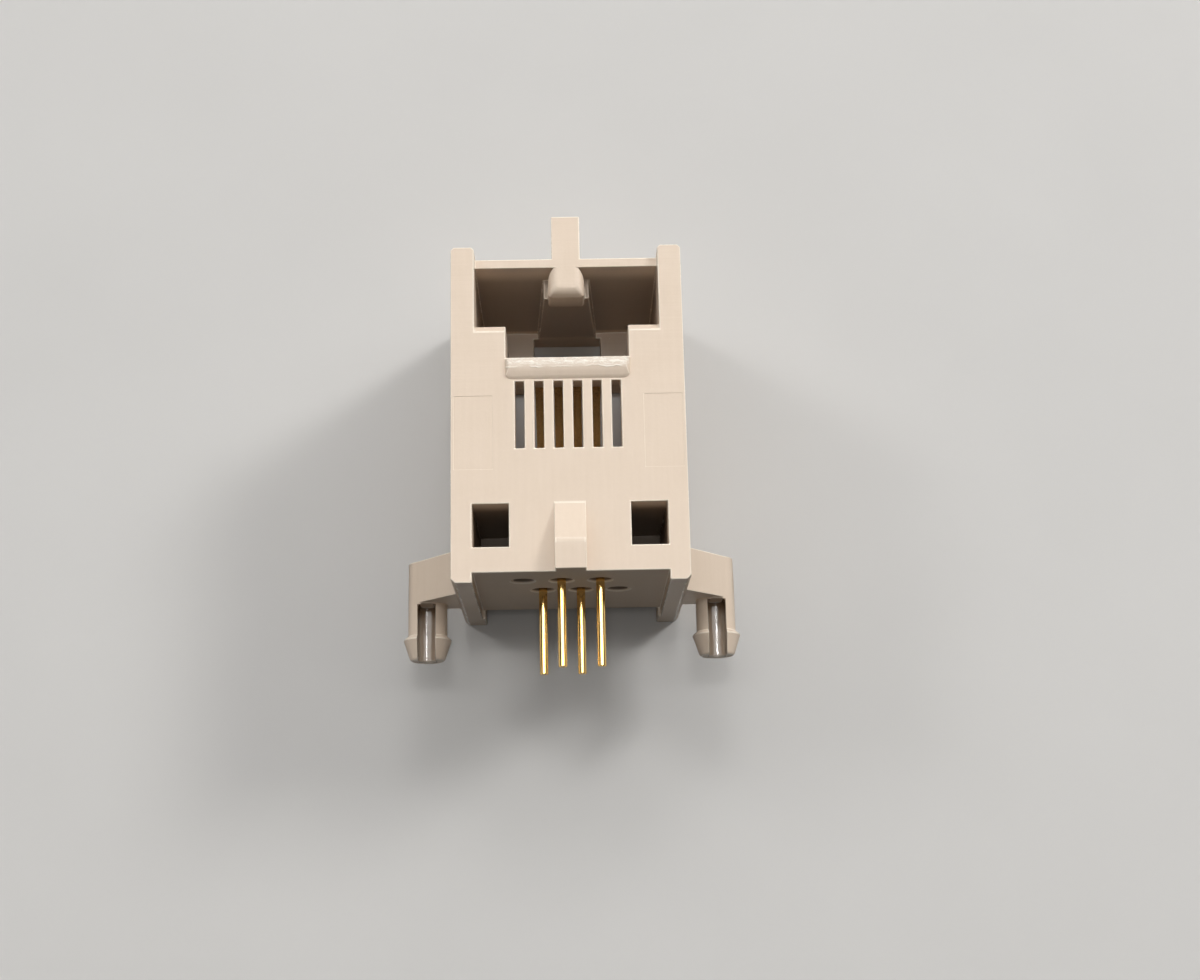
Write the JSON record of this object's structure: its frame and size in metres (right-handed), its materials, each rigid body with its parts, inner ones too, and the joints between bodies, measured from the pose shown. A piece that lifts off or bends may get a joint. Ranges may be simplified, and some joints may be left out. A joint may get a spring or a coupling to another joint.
{
  "type": "modular jack",
  "caption": "Side-entry modular telephone jack in grey moulded plastic with gold contact wires, snap-in board pegs and solder tails for a printed circuit board.",
  "frame": {"origin": "middle of the part's box, on the plane of the mouth that the jack lies on", "axes": "+X across the jack, +Y from the board pins to the latch side, +Z from the mouth to the rear face"},
  "size_m": [0.0184, 0.0244, 0.0133],
  "materials": {
    "housing_plastic": "moulded, fine satin",
    "contact_gold": "gold plated, bright"
  },
  "bodies": {
    "root": {"housing": "housing_plastic", "contact_wire_1": "contact_gold", "contact_wire_2": "contact_gold", "contact_wire_3": "contact_gold", "contact_wire_4": "contact_gold"}
  },
  "joints": []
}
